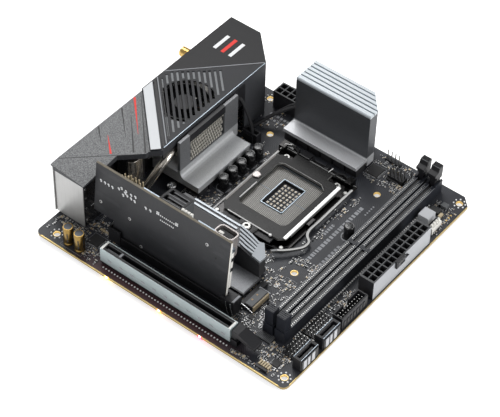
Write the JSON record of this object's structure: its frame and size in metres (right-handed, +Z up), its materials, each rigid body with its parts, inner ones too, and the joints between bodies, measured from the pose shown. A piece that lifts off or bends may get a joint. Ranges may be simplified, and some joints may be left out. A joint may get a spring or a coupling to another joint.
{
  "type": "computer motherboard",
  "caption": "Small square computer motherboard with processor socket, memory and expansion slots, riser card, covered rear connectors and a cooling fan.",
  "frame": {"origin": "middle of the bottom of the bounding box; the lowest level is that of the socket's back plate and the solder tails under the board", "axes": "+X from the rear connectors to the memory slots, +Y from the expansion slot to the processor power connector, +Z up out of the board's component side"},
  "size_m": [0.181, 0.1706, 0.05],
  "materials": {
    "board": "glass-fibre board with black solder mask",
    "black_plastic": "moulded, fine texture",
    "cover": "moulded, satin, with printed stripes",
    "dark_plastic": "moulded",
    "grey_plastic": "moulded",
    "red_plastic": "moulded",
    "wire": "insulated strands",
    "black_steel": "black plating over sheet steel",
    "steel": "bright plated",
    "nickel": "nickel-plated sheet",
    "solder": "tinned",
    "gunmetal": "anodised dark grey",
    "fins": "bare sheet fins",
    "pipe": "nickel-plated copper",
    "ferrite": "pressed powder blocks",
    "gold": "gold-plated",
    "gold_can": "gold lacquered can",
    "capacitor": "dark lacquered can"
  },
  "bodies": {
    "board": {"pcb": "board", "socket_backplate": "steel", "solder_row_pcie": "solder", "solder_row_dimm": "solder", "solder_row_io": "solder", "socket_body": "dark_plastic", "socket_frame": "black_steel", "shoulder_screw": "steel", "socket_screw_left": "steel", "socket_screw_right": "steel", "top_heatsink": "gunmetal", "side_heatsink": "gunmetal", "choke_row_top": "ferrite", "choke_row_side": "ferrite", "fin_stack": "fins", "fan_housing": "black_plastic", "fan_cable": "wire", "fan_connector": "black_plastic", "heatpipe": "pipe", "io_cover": "cover", "io_panel": "black_steel", "lan_usb_jack": "nickel", "usb_stack": "nickel", "video_port": "nickel", "audio_jacks": "black_plastic", "reset_switch": "black_plastic", "wifi_module": "nickel", "antenna_jack_1": "gold", "antenna_jack_2": "gold", "dimm_slot_1": "black_plastic", "dimm_slot_2": "black_plastic", "pcie_slot": "black_plastic", "pcie_shield": "steel", "riser_card": "board", "riser_data_block": "grey_plastic", "riser_front_port": "nickel", "riser_socket": "black_plastic", "drive_heatsink": "gunmetal", "drive_socket": "dark_plastic", "drive_screw": "steel", "atx_power_connector": "black_plastic", "cpu_power_connector": "black_plastic", "front_usb_header": "black_plastic", "sata_port_1": "black_plastic", "sata_port_2": "black_plastic", "capacitor_1": "capacitor", "capacitor_2": "capacitor", "capacitor_3": "capacitor", "capacitor_4": "capacitor", "capacitor_5": "capacitor", "capacitor_6": "capacitor", "audio_capacitor_1": "gold_can", "audio_capacitor_2": "gold_can"},
    "lever": {"socket_lever": "steel"},
    "load_plate": {"load_plate": "black_steel"},
    "dimm_latch_1": {"dimm_latch_1": "black_plastic"},
    "dimm_latch_2": {"dimm_latch_2": "black_plastic"},
    "pcie_latch": {"pcie_latch": "black_plastic"},
    "fan_rotor": {"fan_rotor": "black_plastic"},
    "reset_button": {"reset_button": "red_plastic"}
  },
  "joints": [
    {"name": "lever_hinge", "type": "hinge", "parent": "board", "child": "lever", "pos_m": [0.00932, 0.0491, 0.0072], "axis": [-1, 0, 0], "range_deg": [0, 115]},
    {"name": "load_plate_hinge", "type": "hinge", "parent": "board", "child": "load_plate", "pos_m": [0.00852, 0.0463, 0.0087], "axis": [-1, 0, 0], "range_deg": [0, 95]},
    {"name": "dimm_latch_hinge_1", "type": "hinge", "parent": "board", "child": "dimm_latch_1", "pos_m": [0.06082, 0.0758, 0.0074], "axis": [-1, 0, 0], "range_deg": [0, 30]},
    {"name": "dimm_latch_hinge_2", "type": "hinge", "parent": "board", "child": "dimm_latch_2", "pos_m": [0.06853, 0.0758, 0.0074], "axis": [-1, 0, 0], "range_deg": [0, 30]},
    {"name": "pcie_latch_hinge", "type": "hinge", "parent": "board", "child": "pcie_latch", "pos_m": [0.05253, -0.0756, 0.0074], "axis": [0, 1, 0], "range_deg": [0, 15]},
    {"name": "fan_spin", "type": "hinge", "parent": "board", "child": "fan_rotor", "pos_m": [-0.05908, 0.0154, 0.0358], "axis": [0, 0, 1], "continuous": true},
    {"name": "reset_press", "type": "slide", "parent": "board", "child": "reset_button", "axis": [1, 0, 0], "range_m": [0, 0.0008], "stiffness_N_per_m": 500}
  ],
  "couplings": [
    {"joint": "load_plate_hinge", "follows": "lever_hinge", "ratio": 0.8}
  ]
}
